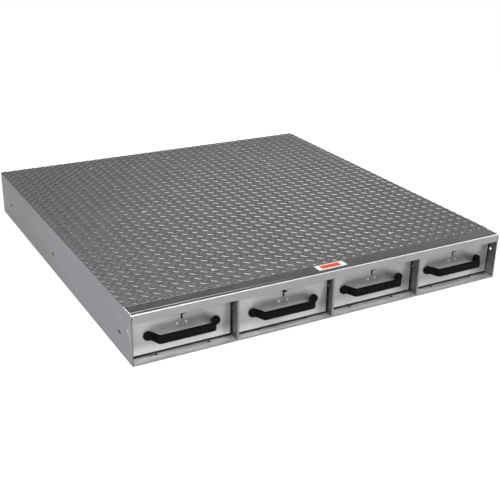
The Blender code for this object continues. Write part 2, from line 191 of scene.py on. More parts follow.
def broken_edges(piece, width, angle=35):
    """Bevel every edge that turns by more than the angle, as deburring does."""
    bevel = piece.modifiers.new("broken_edges", "BEVEL")
    bevel.width, bevel.segments, bevel.harden_normals = width, 2, True
    bevel.limit_method, bevel.angle_limit = "ANGLE", math.radians(angle)


def evaluated_mesh(host):
    """The mesh that an object's modifiers make. The object is removed."""
    bpy.context.view_layer.update()
    done = host.evaluated_get(bpy.context.evaluated_depsgraph_get())
    mesh = bpy.data.meshes.new_from_object(done)
    host.modifiers.clear()
    bpy.data.objects.remove(host)
    return mesh


# %% [markdown]
# ## Camera
# The photograph looks down on the unit's left front corner. Its viewpoint comes from where
# the corners of the case lie in the picture. A camera could also be turned by eye, but four
# edges that run to far vanishing points fix it much better. The camera stands 1.86 m in
# front of the case and 1.18 m up.

# %% Camera
camera_data = bpy.data.cameras.new("camera")
camera_data.sensor_width = 36
focal_length, picture_width = 890.8, 500  # both in pixels
camera_data.lens = focal_length / picture_width * camera_data.sensor_width
azimuth, elevation, roll = -29.4, 23.29, 1.25
stand = Matrix.Translation((-1.3196, -2.4774, 1.1779))
for angle, axis in ((azimuth, "Z"), (90 - elevation, "X"), (roll, "Z")):
    stand @= Matrix.Rotation(math.radians(angle), 4, axis)
camera = bpy.data.objects.new("camera", camera_data)
camera.matrix_world = stand
scene.collection.objects.link(camera)
scene.camera = camera
print("camera at", [round(v, 3) for v in camera.location])

# %% [markdown]
# ## Floor, background and lamps
# The unit stands on a plain white floor in a plain white room whose ceiling is a little
# greyer, as a studio's is. The world and the floor look the same to the camera and in
# reflections, and light the object more softly than they look, so a colour renders about as
# it is written. A large lamp overhead, behind the middle, draws the bright line along the
# header's bend and catches the flanks of the lugs. A high lamp in front leaves the top of
# each drawer in the header's soft shade. A small one at the left lights the side panel more
# at its front than at its back, and two weak ones open up the right side and the back. The
# deck would mirror the rear one as a patch of haze, so that lamp is hidden from the metal.

# %% World
white = (1, 1, 1, 1)


def seen_directly(tree):
    """One for a ray from the camera or off metal or glass, else zero."""
    path = node(tree, "ShaderNodeLightPath").outputs
    either = calc(tree, "MAXIMUM", path["Is Camera Ray"], path["Is Glossy Ray"])
    return calc(tree, "MAXIMUM", either, path["Is Transmission Ray"])


world = bpy.data.worlds.new("white_room")
tree = emptied(world)
light = node(tree, "ShaderNodeBackground", Color=white, Strength=0.36)
direction = node(tree, "ShaderNodeTexCoord").outputs["Generated"]
height = node(tree, "ShaderNodeSeparateXYZ", direction).outputs["Z"]
seen = node(tree, "ShaderNodeBackground", Color=white,
            Strength=remap(tree, height, 0.18, 0.80, 1.0, 0.50))
mix = node(tree, "ShaderNodeMixShader", seen_directly(tree), light.outputs[0], seen.outputs[0])
node(tree, "ShaderNodeOutputWorld", mix.outputs[0])
scene.world = world
scene.view_settings.view_transform = "Standard"
print("world:", world.name)

# %% Floor
white_floor = bpy.data.materials.new("white_floor")
tree = emptied(white_floor)
paint = node(tree, "ShaderNodeBsdfDiffuse", Color=(0.82, 0.82, 0.82, 1))
glow = node(tree, "ShaderNodeEmission", Color=white, Strength=1.13)
share = calc(tree, "MULTIPLY", seen_directly(tree), 0.84)
mix = node(tree, "ShaderNodeMixShader", share, paint.outputs[0], glow.outputs[0])
node(tree, "ShaderNodeOutputMaterial", mix.outputs[0])
bm = bmesh.new()
bmesh.ops.create_grid(bm, x_segments=4, y_segments=4, size=9)
floor = show("floor", as_mesh(bm, "floor", outward=False), white_floor)
floor.location.z = cad_box[0].z - 0.0005
print("floor below the case in mm:", round(-1000 * floor.location.z, 1))

# %% Lamps
def add_lamp(name, place, target, width, height, power, gloss=True):
    data = bpy.data.lights.new(name, "AREA")
    data.shape = "RECTANGLE"
    data.size, data.size_y, data.energy = width, height, power
    lamp = bpy.data.objects.new(name, data)
    lamp.location = place
    aim = Vector(target) - Vector(place)
    lamp.rotation_euler = aim.to_track_quat("-Z", "Y").to_euler()
    lamp.visible_camera, lamp.visible_glossy = False, gloss
    scene.collection.objects.link(lamp)
    print(name, "power per square metre:", round(power / width / height, 1))


add_lamp("overhead", (0.35, 0.90, 2.6), (0.1, 0.0, 0), 1.9, 1.0, 42)
add_lamp("front", (-0.9, -3.2, 1.7), (0.0, -0.5, 0.05), 2.4, 1.2, 56)
add_lamp("left", (-2.2, -1.7, 0.9), (-0.6, -0.5, 0.05), 0.8, 0.7, 17)
add_lamp("right", (2.9, -1.2, 1.5), (0.2, 0, 0.05), 1.4, 1.2, 18)
add_lamp("rear", (-0.3, 3.2, 1.2), (-0.1, 0.6, 0.05), 1.0, 0.8, 16, gloss=False)

# %% [markdown]
# ## Finishes
# Every metal here is the same recipe with other numbers. Rolled sheet isn't one flat grey: it
# has a cloudy tone from handling, fine lines along the direction in which it was rolled or
# brushed, and a few stray scratches. Noise patterns stand for these. They read Object
# coordinates, which are metres here, so a line's size is set in real units. The lines move
# the colour a little and the roughness more, because brushed metal mainly differs in how it
# scatters light.

# %% Pattern helpers
def here(tree):
    """The place that is shaded, in metres."""
    return node(tree, "ShaderNodeTexCoord").outputs["Object"]


def axes(tree):
    """The X, Y and Z of that place."""
    return node(tree, "ShaderNodeSeparateXYZ", here(tree)).outputs


def off(tree, value, place):
    """How far a value lies from a place, to either side."""
    return calc(tree, "ABSOLUTE", calc(tree, "SUBTRACT", value, place))


def noise(tree, per_metre, detail=3.0, roughness=0.5, distortion=0.0, turn=0.0):
    """A noise pattern with so many features to the metre along all axes or along each."""
    mapping = node(tree, "ShaderNodeMapping", Vector=here(tree), Scale=three(per_metre),
                   Rotation=(0, 0, math.radians(turn)))
    return node(tree, "ShaderNodeTexNoise", Vector=mapping.outputs[0], Scale=1.0, Detail=detail,
                Roughness=roughness, Distortion=distortion).outputs["Fac"]


def blend(tree, first, second, share):
    """A mix of two values."""
    return node(tree, "ShaderNodeMix", data_type="FLOAT", Factor=share, A=first,
                B=second).outputs["Result"]


def between(tree, value, *stops):
    """A colour that runs through the stops, each a place from zero to one and a colour."""
    ramp = node(tree, "ShaderNodeValToRGB", value)
    elements = ramp.color_ramp.elements
    while len(elements) < len(stops):
        elements.new(0.5)
    for element, (place, color) in zip(elements, stops):
        element.position, element.color = place, (*three(color), 1)
    return ramp.outputs[0]


def shade(color, factor):
    return tuple(min(1.0, channel * factor) for channel in three(color))


def relief(tree, height, strength, depth):
    """The normal of a surface with a fine relief."""
    return node(tree, "ShaderNodeBump", Strength=strength, Distance=depth,
                Height=height).outputs[0]


def new_material(name):
    material = bpy.data.materials.new(name)
    material.use_nodes = True
    tree = material.node_tree
    return material, tree, tree.nodes["Principled BSDF"]


# %% A recipe for sheet metal
def scratched(tree, colored, color, strength):
    """Two sets of stray scratches, in a lighter tone of the colour."""
    marks = noise(tree, (7, 190, 190), detail=1.0, distortion=0.3, turn=24)
    more = noise(tree, (150, 6, 150), detail=1.0, distortion=0.3, turn=-17)
    either = calc(tree, "MAXIMUM", remap(tree, marks, 0.70, 0.74, 0, 1),
                  remap(tree, more, 0.71, 0.75, 0, 1))
    mix = node(tree, "ShaderNodeMix", data_type="RGBA")
    color_sockets = {6: colored, 7: (*shade(color, 1.7), 1)}
    fill(tree, mix, {0: calc(tree, "MULTIPLY", either, strength), **color_sockets})
    return mix.outputs[2]


def metal(name, color, roughness, lines, cloud, contrast=0.12, rough_swing=0.07,
          groove=0.00002, scratches=0.0, metallic=1.0, rim=1.0, streak=None):
    """Rolled or brushed metal. A colour is a grey or has three channels. lines gives the fine
    pattern's features per metre, cloud those of the coarse one, rim the tint at grazing
    angles, and streak the axis along which highlights spread."""
    material, tree, shader = new_material(name)
    handled = noise(tree, cloud, detail=4.0, roughness=0.6, distortion=0.4)
    drawn = noise(tree, lines, detail=2.0, roughness=0.6)
    tone = blend(tree, handled, drawn, 0.45)
    colored = between(tree, tone, (0.3, shade(color, 1 - contrast)), (0.5, color),
                      (0.72, shade(color, 1 + contrast)))
    if scratches:
        colored = scratched(tree, colored, color, scratches)
    rough = remap(tree, tone, 0.3, 0.7, roughness - rough_swing, roughness + rough_swing)
    fill(tree, shader, {"Metallic": metallic, "Specular Tint": (rim, rim, rim, 1),
                        "Base Color": colored, "Roughness": rough,
                        "Normal": relief(tree, drawn, 0.6, groove)})
    if streak:
        fill(tree, shader, {"Anisotropic": 0.85, "Tangent": combined(tree, *streak)})
    return material


# %% The metals
side_sheet = metal("side_sheet", (0.225, 0.230, 0.245), 0.48, (900, 5, 900), cloud=2.5,
                   contrast=0.08, scratches=0.15, metallic=0.2)
# A darker copy of the sheet for faces inside the case, as painted shade
shaded_inner_sheet = metal("shaded_inner_sheet", (0.145, 0.145, 0.147), 0.42, (60, 6, 500), cloud=9,
                    contrast=0.22, scratches=0.25, metallic=0.85)
wall_edge = metal("wall_edge", 0.165, 0.34, (300, 300, 40), cloud=40, contrast=0.18)
# Bright as a fresh cut; on the deck plate's front face it is also a painted highlight
cut_edge_and_highlight = metal("cut_edge_and_highlight", 0.36, 0.40, 300, cloud=40, contrast=0.18, metallic=0.3)
divider_edge = metal("divider_edge", 0.27, 0.36, (300, 300, 40), cloud=40, contrast=0.22)
sill_sheet = metal("sill_sheet", (0.660, 0.660, 0.650), 0.4, (6, 500, 500), cloud=14,
                   contrast=0.32, scratches=0.2, metallic=0.5)
tread_sheet = metal("tread_sheet", (0.180, 0.183, 0.188), 0.26, (60, 260, 260), cloud=16,
                    contrast=0.13, groove=0.00003, scratches=0.10, rim=0.6)
lug_crest = metal("lug_crest", (0.180, 0.180, 0.178), 0.28, 320, cloud=30, rim=0.7)
lug_flank = metal("lug_flank", (0.170, 0.170, 0.172), 0.60, 60, cloud=9, contrast=0.14, rim=0.5)
# The header's top and lip are shaded and lit copies of one sheet, and its fold is a painted
# highlight
shaded_strip_sheet = metal("shaded_strip_sheet", (0.094, 0.094, 0.095), 0.17, (5, 620, 620), cloud=8,
                    contrast=0.26, rough_swing=0.04, scratches=0.08)
bend_highlight_sheet = metal("bend_highlight_sheet", 0.95, 0.30, (4, 640, 640), cloud=10, contrast=0.06,
                   metallic=0.6)
lit_lip_sheet = metal("lit_lip_sheet", 0.33, 0.32, (4, 640, 640), cloud=10, scratches=0.15,
                  metallic=0.9)
front_sheet = metal("front_sheet", 0.410, 0.36, (3, 760, 760), cloud=7, contrast=0.07,
                    rough_swing=0.05, groove=0.00006, metallic=0.6, streak=(0, 0, 1))
box_sheet = metal("box_sheet", (0.38, 0.385, 0.40), 0.38, (640, 5, 640), cloud=5,
                  contrast=0.10, scratches=0.25, metallic=0.85)
sooty_weld = metal("sooty_weld", 0.07, 0.40, 500, cloud=60, contrast=0.4)
rivet_metal = metal("rivet_metal", 0.70, 0.26, 900, cloud=120, contrast=0.10, metallic=0.85)
zinc_plate = metal("zinc_plate", (0.48, 0.49, 0.51), 0.30, (420, 9, 420), cloud=24,
                   contrast=0.14, scratches=0.15)
# Dark zinc for the latch bolts; its darkness also stands in for the shade inside the latch slots
dark_zinc = metal("dark_zinc", (0.022, 0.022, 0.024), 0.36, (420, 420, 60), cloud=60,
                  contrast=0.35)
# Painted shade for the insides of holes, and for the dark ovals and rings around them
bore_shade = metal("bore_shade", (0.020, 0.020, 0.022), 0.5, 600, cloud=150, contrast=0.3,
                  metallic=0.3, rim=0.2)

# %% [markdown]
# ## Painted light and shade
# Each drawer front has an uneven painted shade and reflection of its handle across its middle,
# above the grip, painted light below it, and a darker lowest edge. All four fronts have the
# same pitch, so one wave along x marks every middle, and ramps along z do the rest. The floor
# pan has a painted shadow from the drawers backward. The header's top has a thin painted
# highlight line at its left. The side walls have painted shade that grows darker towards the
# back, and the lugs' highlights are painted darker towards the back left corner, where the
# plate between them is painted a little lighter. Each pattern multiplies a finish's colour,
# which keeps the brushed lines visible.

# %% Patterns that scale a colour
def multiplied(material, factor):
    """Scale a finish's colour by a pattern."""
    tree = material.node_tree
    base = tree.nodes["Principled BSDF"].inputs["Base Color"]
    tree.links.new(vector(tree, "SCALE", base.links[0].from_socket, Scale=factor), base)


def painted_front_light_and_shade(material, handle_shade_band, painted_light_band, dark_lowest_edge):
    """A painted shade of the handle across each drawer front's middle, painted light below it, and
    a darker lowest edge.
    """
    tree = material.node_tree
    place = axes(tree)
    from_wall = calc(tree, "PINGPONG", calc(tree, "SUBTRACT", place["X"], left), bay_pitch / 2)
    patchiness = noise(tree, (14, 14, 60), detail=3.0, distortion=0.6)
    painted_handle_shade = remap(tree, from_wall, 0.25 * bay_pitch / 2, 0.62 * bay_pitch / 2, 0, 1)
    for factor in (remap(tree, place["Z"], *handle_shade_band[:2], 0, 1),
                   remap(tree, place["Z"], *handle_shade_band[2:], 1, 0),
                   remap(tree, patchiness, 0.3, 0.7, 0.75, 1.15)):
        painted_handle_shade = calc(tree, "MULTIPLY", painted_handle_shade, factor)
    # painted shade and reflection of the handle, above the grip
    multiplied(material, remap(tree, painted_handle_shade, 0, 1, 1.0, 0.60))
    # painted light on the lower part of each front
    multiplied(material, remap(tree, place["Z"], *painted_light_band, 2.3, 1.0))
    # the lowest edge of each front is darker
    multiplied(material, remap(tree, place["Z"], *dark_lowest_edge, 0.25, 1.0))


def painted_light_along(material, direction, start, end, factor):
    """Painted light or shade: a finish whose tone changes by a factor along one direction."""
    tree = material.node_tree
    along = node(tree, "ShaderNodeVectorMath", here(tree), direction, operation="DOT_PRODUCT")
    multiplied(material, remap(tree, along.outputs["Value"], start, end, 1.0, factor))


def painted_shadow_under(material, fronts, forward_front, forward_bay):
    """Painted shadow on the sill under the drawers, of which one stands forward."""
    tree = material.node_tree
    place = axes(tree)
    front = remap(tree, off(tree, place["X"], forward_bay), 0.49 * bay_pitch, 0.50 * bay_pitch,
                  forward_front, fronts)
    behind = calc(tree, "SUBTRACT", place["Y"], front)
    # painted shadow behind the drawer fronts
    multiplied(material, remap(tree, behind, -0.001, 0.003, 1.0, 0.10))


def painted_highlight_line(material, line_y, width, start, end):
    """A thin painted highlight line along x that fades out."""
    tree = material.node_tree
    place = axes(tree)
    across = remap(tree, off(tree, place["Y"], line_y), 0.4 * width, 0.6 * width, 1, 0)
    line = calc(tree, "MULTIPLY", across, remap(tree, place["X"], start, end, 1, 0))
    multiplied(material, remap(tree, line, 0, 1, 1, 6.5))


# Painted shade of the handles, painted light below them, and a darker lowest edge on the fronts
painted_front_light_and_shade(front_sheet, handle_shade_band=(0.050, 0.068, 0.084, 0.098), painted_light_band=(0.012, 0.042),
              dark_lowest_edge=(0.0110, 0.0130))
# Painted shadow on the floor pan under the drawers
painted_shadow_under(sill_sheet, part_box("drawer_1_front")[0].y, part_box("drawer_2_front")[0].y,
             forward_bay=-bay_pitch / 2)
# Painted shade that darkens the side walls towards the back
painted_light_along(side_sheet, (0, 1, 0), -0.15, 0.45, 0.72)
# Painted shade that dims the lugs' highlights towards the back left, where the plate between them
# is painted a little lighter
for material, factor in ((lug_crest, 0.5), (lug_flank, 0.5), (tread_sheet, 1.12)):
    painted_light_along(material, (-1, 1, 0), 0.28, 0.90, factor)
# A painted highlight line along the left part of the header's top
painted_highlight_line(shaded_strip_sheet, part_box("front_header")[0].y + 0.014, 0.004, start=-0.42, end=-0.10)
print("finishes:", sum(1 for material in bpy.data.materials if material.use_nodes))

# %% [markdown]
# ## Folded and flat sheet
# The walls, the floor pan, the trays and the drawer fronts are plain sheet in the real unit
# too, so their solids have the right shape. What they lack is the small round that shearing
# and deburring leave on every edge, which is what catches the light. Each gets a copy whose
# flat regions are merged and whose edges are bevelled by about half a millimetre. A bevel
# modifier that is limited by angle does this for all edges at once, the holes' rims too.

# %% Helpers for pieces
body_of = {member: body for body, members in frame["record"]["behaviour"]["bodies"].items()
           for member in members}


def attach(piece, body, slot, *replaced):
    """Carry a finished piece on a body, in place of the solids that it stands for."""
    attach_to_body(piece, body)
    if replaced:
        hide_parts(*replaced)
    return piece


def merged_copy(name):
    """A solid's mesh as one connected surface, with flat regions joined."""
    bm = bmesh.new()
    bm.from_mesh(frame["nodes"][name].data)
    bmesh.ops.remove_doubles(bm, verts=bm.verts, dist=0.00001)
    bmesh.ops.dissolve_limit(bm, angle_limit=math.radians(0.4), verts=bm.verts, edges=bm.edges)
    return as_mesh(bm, name, outward=False, smooth=True)


# A wall's front edge, a side wall's face that looks inward, and the small bores
lies_on = {
    "edge": lambda face: face.normal.y < -0.9 and face.center.y < front_edge + 0.001,
    "inside": lambda face: abs(face.normal.x) > 0.9 and face.normal.x * face.center.x < 0,
    "bore": lambda face: abs(face.normal.z) < 0.5 and face.area < 0.00001,
}


def softened(name, width, material, slot="mill", **finishes):
    """A sheet part with broken edges, and with other finishes on the regions named above."""
    mesh = merged_copy(name)
    piece = show(name + "_finished", mesh, material, *finishes.values())
    for index, region in enumerate(finishes, 1):
        for face in mesh.polygons:
            if lies_on[region](face):
                face.material_index = index
    broken_edges(piece, width)
    return attach(piece, body_of[name], slot, name)


# %% Sheet parts of the case
# The side walls' inward faces take the darker inside finish, as painted shade
for name in ("left_side_panel", "right_side_panel"):
    softened(name, 0.0006, side_sheet, edge=wall_edge, inside=shaded_inner_sheet)
back_inset = 0.0014  # room for the rivets' heads within the solid's box
for vertex in softened("back_panel", 0.0006, side_sheet).data.vertices:
    if vertex.co.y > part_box("back_panel")[1].y - 0.0001:
        vertex.co.y -= back_inset
# The dividers and the strike rail take the darker inside finish, as painted shade
for name in ("divider_1", "divider_2", "divider_3", "strike_rail"):
    softened(name, 0.0005, shaded_inner_sheet, edge=divider_edge)
# The sill's bores are painted with shade, and its front edge takes the darker edge finish as a
# painted shadow line
softened("base_pan", 0.0004, sill_sheet, edge=divider_edge, bore=bore_shade)
print("case sheets:", 8)

# %% Sheet parts of the drawers
for bay in bays:
    softened(f"drawer_{bay}_front", 0.0005, front_sheet, "brushed")
    softened(f"drawer_{bay}_box", 0.0003, box_sheet)
    # The bolt's dark finish also paints the shade seen through the latch slot
    softened(f"latch_{bay}_bolt", 0.0004, dark_zinc, "dark_zinc")
    softened(f"latch_{bay}_housing", 0.0003, zinc_plate, "zinc")
print("drawer sheets:", 4 * len(bays))

# %% Finish of the slides
slides = [part for name, part in frame["nodes"].items() if name.startswith("slide")]
for part in slides:
    part.data.materials.clear()
    part.data.materials.append(zinc_plate)
print("slide members:", len(slides))

# %% [markdown]
# ## Tread plate
# Tread plate is rolled with hot dies that press a raised lug every 34 mm, and a second lug at
# right angles between each four. One lug is a long lens of 29.5 mm by 9.2 mm, and little over
# 1 mm high. A displacement map would need millions of faces to keep them crisp, so one low
# lug of a few dozen faces is repeated by Geometry Nodes on two grids. The plate was cut from
# a larger sheet, so lugs that cross its edge are sliced there, and the cut is filled. One set
# of lugs is polished and the other dull, because the photograph shows only the lugs that lie
# across the view as bright strokes. The plate's edges are bright as fresh cuts in front and
# behind, and on its front edge that brightness is also a painted highlight; at its sides they
# are dull as the walls.

# %% One lug
def lens(length, width, height, sides=12):
    """A closed low lug: an outline of two arcs, a shoulder and a crest."""
    bm = bmesh.new()
    rings = []
    for share, rise in ((1.0, -0.0002), (0.70, 0.42 * height), (0.28, 0.94 * height)):
        ring = []
        for turn in angles(sides):
            along = math.cos(turn)
            across = math.sin(turn) * (1 - 0.15 * along * along)
            ring.append(bm.verts.new((length / 2 * along * (0.72 + 0.28 * share),
                                      width / 2 * across * share, rise)))
        rings.append(ring)
    banded(bm, rings)
    crest = bm.verts.new((0, 0, height))
    for i in range(sides):
        bm.faces.new((rings[-1][i], rings[-1][(i + 1) % sides], crest))
    base = bm.faces.new(list(reversed(rings[0])))
    for edge in base.edges:
        edge.smooth = False
    for face in bm.faces:
        face.smooth = True
    return as_mesh(bm, "lug", outward=False)


plate_low, plate_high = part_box("tread_plate")
lug_height = 0.00125
lug_play = 0.00015  # keeps the crests below the solid's top
plate_top = plate_high.z - lug_height - lug_play
one_lug = show("one_lug", lens(0.0295, 0.0092, lug_height))
print("faces of one lug:", len(one_lug.data.polygons))

# %% Tree that lays lugs on two grids
def tool_tree(name, **inputs):
    """A new Geometry Nodes tree, and the outputs that give its named inputs."""
    tree = bpy.data.node_groups.new(name, "GeometryNodeTree")
    for label, kind in {"Geometry": "Geometry", **inputs}.items():
        tree.interface.new_socket(label, in_out="INPUT", socket_type="NodeSocket" + kind)
    tree.interface.new_socket("Geometry", in_out="OUTPUT", socket_type="NodeSocketGeometry")
    return tree, tree.nodes.new("NodeGroupInput").outputs


def close_tree(tree, given, geometry):
    """Make the instances real, paint them and give them out."""
    real = node(tree, "GeometryNodeRealizeInstances", geometry)
    painted = node(tree, "GeometryNodeSetMaterial", Geometry=real.outputs[0],
                   Material=given["Finish"])
    node(tree, "NodeGroupOutput", painted.outputs[0])


def lug_tree():
    tree, given = tool_tree("lugs_on_two_grids", Lug="Object", Across="Float", Along="Float",
                            Columns="Int", Rows="Int", First="Vector", Finish="Material")
    lug = node(tree, "GeometryNodeObjectInfo", given["Lug"])
    pitches = combined(tree, given["Across"], given["Along"])
    counts = combined(tree, given["Columns"], given["Rows"])
    span = vector(tree, "MULTIPLY", vector(tree, "SUBTRACT", counts, (1, 1, 0)), pitches)
    size = node(tree, "ShaderNodeSeparateXYZ", span).outputs
    grid = node(tree, "GeometryNodeMeshGrid", Size_X=size["X"], Size_Y=size["Y"],
                Vertices_X=given["Columns"], Vertices_Y=given["Rows"])
    start = vector(tree, "ADD", vector(tree, "SCALE", span, Scale=0.5), given["First"])
    between_lugs = vector(tree, "ADD", vector(tree, "SCALE", pitches, Scale=0.5), start)
    both = node(tree, "GeometryNodeJoinGeometry")
    for place, turn in ((start, -45), (between_lugs, 45)):
        moved = node(tree, "GeometryNodeTransform", Geometry=grid.outputs["Mesh"],
                     Translation=place)
        laid = node(tree, "GeometryNodeInstanceOnPoints", Points=moved.outputs[0],
                    Instance=lug.outputs["Geometry"], Rotation=(0, 0, math.radians(turn)))
        fill(tree, both, {0: laid.outputs[0]})
    close_tree(tree, given, both.outputs[0])
    return tree


def run_tree(tree, name, carrier, **values):
    """Run a tree on a mesh and give back its result as a plain mesh."""
    host = show(name + "_host", carrier)
    modifier = host.modifiers.new("tree", "NODES")
    modifier.node_group = tree
    for item in tree.interface.items_tree:
        if item.name in values:
            modifier[item.identifier] = values[item.name]
    mesh = evaluated_mesh(host)
    mesh.materials.clear()
    mesh.materials.append(values["Finish"])
    for face in mesh.polygons:
        face.material_index = 0
    return mesh


# %% Lay the lugs and slice them at the plate's edges
def sliced(mesh, low, high):
    """Cut a mesh off at a rectangle's four sides and close the cuts."""
    bm = bmesh.new()
    bm.from_mesh(mesh)
    for place, outward in ((low, (-1, 0, 0)), (low, (0, -1, 0)), (high, (1, 0, 0)),
                           (high, (0, 1, 0))):
        everything = bm.verts[:] + bm.edges[:] + bm.faces[:]
        cut = bmesh.ops.bisect_plane(bm, geom=everything, plane_co=place, plane_no=outward,
                                     clear_outer=True)
        rim = [part for part in cut["geom_cut"] if isinstance(part, bmesh.types.BMEdge)]
        bmesh.ops.edgenet_fill(bm, edges=rim)
    bmesh.ops.recalc_face_normals(bm, faces=bm.faces)
    bm.to_mesh(mesh)
    bm.free()


lugs = run_tree(lug_tree(), "deck_lugs", bpy.data.meshes.new("empty"), Lug=one_lug,
                Across=0.0342, Along=0.0337, Columns=36, Rows=36, Finish=lug_crest,
                First=(plate_low.x + 0.0026, plate_low.y + 0.0017, plate_top))
bpy.data.objects.remove(one_lug)
lugs.materials.append(lug_flank)
for face in lugs.polygons[:len(lugs.polygons) // 2]:  # the set that was joined last
    face.material_index = 1
sliced(lugs, plate_low, plate_high)
attach(show("deck_lugs", lugs), "case", "tread")
print("lug faces:", len(lugs.polygons))

# %% The plate under the lugs
def slab(low, high, across, along):
    """A closed sheet between two corners, divided into a grid on its top and bottom."""
    bm = bmesh.new()
    for z in (high.z, low.z):
        grid = [[bm.verts.new((x, y, z)) for x in steps(low.x, high.x, across)]
                for y in steps(low.y, high.y, along)]
        for j in range(along):
            for i in range(across):
                bm.faces.new((grid[j][i], grid[j][i + 1], grid[j + 1][i + 1], grid[j + 1][i]))
    bmesh.ops.bridge_loops(bm, edges=[edge for edge in bm.edges if edge.is_boundary])
    return as_mesh(bm, "slab", smooth=True)


plate = slab(plate_low, Vector((plate_high.x, plate_high.y, plate_top)), 24, 24)
deck_plate = show("deck_plate", plate, tread_sheet, cut_edge_and_highlight, side_sheet)
# The front and back faces take the bright edge finish, partly a painted highlight
for face in plate.polygons:
    if abs(face.normal.z) < 0.5:
        face.material_index = 1 if abs(face.normal.y) > 0.5 else 2
broken_edges(deck_plate, 0.0005)
attach(deck_plate, "case", "tread", "tread_plate")
print("plate top in mm:", round(1000 * plate_top, 2))

# %% [markdown]
# ## Folded header
# One strip of sheet is folded over the front: its flat top laps onto the walls and butts
# against the tread plate, and its lip hangs in front of the drawers' top edges. The fold is
# the brightest line of the photograph. A box with a bevel would do, but the inside of the
# fold shows from below, so the true profile of the folded sheet is drawn and extruded. Its
# top is painted darker than its lip, as shaded and lit copies of one sheet, and the fold
# carries a painted highlight. The sawn ends have gone dull.

# %% Header
def folded_header(low, high, gauge, bend, across):
    """An upside-down L of sheet, with round inner and outer bends."""
    def arc(radius, count):
        return [(low.y + bend - radius * math.cos(turn), high.z - bend + radius * math.sin(turn))
                for turn in steps(0, quarter, count)]

    outline = [(low.y, low.z), *arc(bend, 10), (high.y, high.z), (high.y, high.z - gauge),
               *reversed(arc(bend - gauge, 6)), (low.y + gauge, low.z)]
    bm = bmesh.new()
    closed(bm, [[bm.verts.new((x, y, z)) for y, z in outline]
                for x in steps(low.x, high.x, across)])
    mesh = as_mesh(bm, "header", smooth=True)
    for face in mesh.polygons:
        upward, forward, end = (face.normal.z > 0.97, face.normal.y < -0.97,
                                abs(face.normal.x) > 0.97)
        face.material_index = 0 if upward else 2 if forward else 3 if end else 1
    return mesh


header_low, header_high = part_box("front_header")
# Painted shade on the top, painted light on the lip and a painted highlight on the fold
header = show("front_header_folded", folded_header(header_low, header_high, 0.002, 0.003, 16),
              shaded_strip_sheet, bend_highlight_sheet, lit_lip_sheet, divider_edge)
broken_edges(header, 0.0004, angle=50)
attach(header, "case", "header", "front_header")
print("header depth in mm:", round(1000 * (header_high.y - header_low.y), 1))

# %% [markdown]
# ## Fasteners and welds
# Small parts tell how a sheet case is put together: screws in the side walls, each on a flat
# dark oval that is painted shade of an access hole, rivets, bolts behind the handles, and
# welds that fill holes in the deck over each wall. Those are ground as bright as a cut edge,
# while the welds at the corners are left sooty. The sill's bolt holes have painted shade in
# their bores and thin rings of painted shade around them, and the lock rod's holes a bright
# ring that is a painted highlight. A head is turned like a lathe part, as rings of points at
# chosen radii and heights, and one Geometry Nodes tree sets it on a list of points. Each point
# has a facing, so the same tree serves a wall, a deck or a drawer front.

# %% Turned heads
def turned(rings, sides=20, hollow=False):
    """Rings of radius and height in millimetres and, unless it is round, outline, from the
    buried rim inward. The ends are closed, or joined to each other if the part is hollow."""
    bm = bmesh.new()
    made = []
    for radius, height, *outline in rings:
        ring = []
        for turn in angles(sides):
            reach = 0.001 * radius * (outline[0](turn) if outline else 1)
            ring.append(bm.verts.new((reach * math.cos(turn), reach * math.sin(turn),
                                      0.001 * height)))
        made.append(ring)
    if hollow:
        banded(bm, made + made[:1])
    else:
        closed(bm, made)
    return as_mesh(bm, "head")


def hexagon(turn):
    sector = math.pi / 3
    return math.cos(sector / 2) / math.cos((turn + sector / 2) % sector - sector / 2)


def cross(turn):
    """A cross-shaped recess: full at four arms and narrow between them."""
    return 0.42 + 0.58 * max(0.0, math.cos(4 * turn)) ** 1.5


def oval(turn):
    """Wide along local y and 0.55 as wide along local x."""
    return 1 / math.hypot(math.cos(turn) / 0.55, math.sin(turn))


sunk = -0.3  # a rim below the sheet's face, so that no gap shows


def dome(radius, height):
    return [(radius, sunk), *((radius * math.cos(turn), height * math.sin(turn))
                              for turn in steps(0, quarter, 5)[:-1]),
            (0.12 * radius, 0.995 * height)]


heads = {
    "rivet": turned(dome(2.6, 1.2)),
    "hole": turned([(9.5, sunk, oval), (9.5, 0.15, oval), (8.8, 0.25, oval), (2, 0.25, oval)],
                   24),
    "flat_ring": turned([(4.2, sunk), (4.2, 0.12), (2.9, 0.12), (2.9, sunk)], hollow=True),
    "weld": turned([(6.2, sunk), (6, 0.3), (5, 0.9), (3.6, 0.6), (2, 0.9), (0.6, 1.1)]),
    "countersunk": turned([(3.1, sunk), (3.1, 0.1), (2.8, 0.3), (1.9, 0.3, cross),
                           (1.7, -0.2, cross), (0.4, -0.2)], 24),
    "pan": turned([(3.8, sunk), (3.8, 0.8), (3.4, 1.6), (2.5, 2.1), (1.9, 2.1, cross),
                   (1.7, 1.2, cross), (0.4, 1.2)], 24),
    "bolt": turned([(7, sunk), (7, 1.2), (5.2, 1.2), (5.2, 1.3, hexagon), (5.2, 4.5, hexagon),
                    (4.8, 5), (4, 5)], 24),
    "bead": turned([(2.2, -0.4), (2, 0.4), (1.4, 0.9), (0.4, 1.1)], 12),
}
print("head faces:", {name: len(mesh.polygons) for name, mesh in heads.items()})

# %% Tree that sets heads on points
def chance(tree, seed, low, high):
    """A number between two, drawn for each point."""
    return node(tree, "FunctionNodeRandomValue", None, None, low, high, data_type="FLOAT",
                Seed=seed).outputs[1]


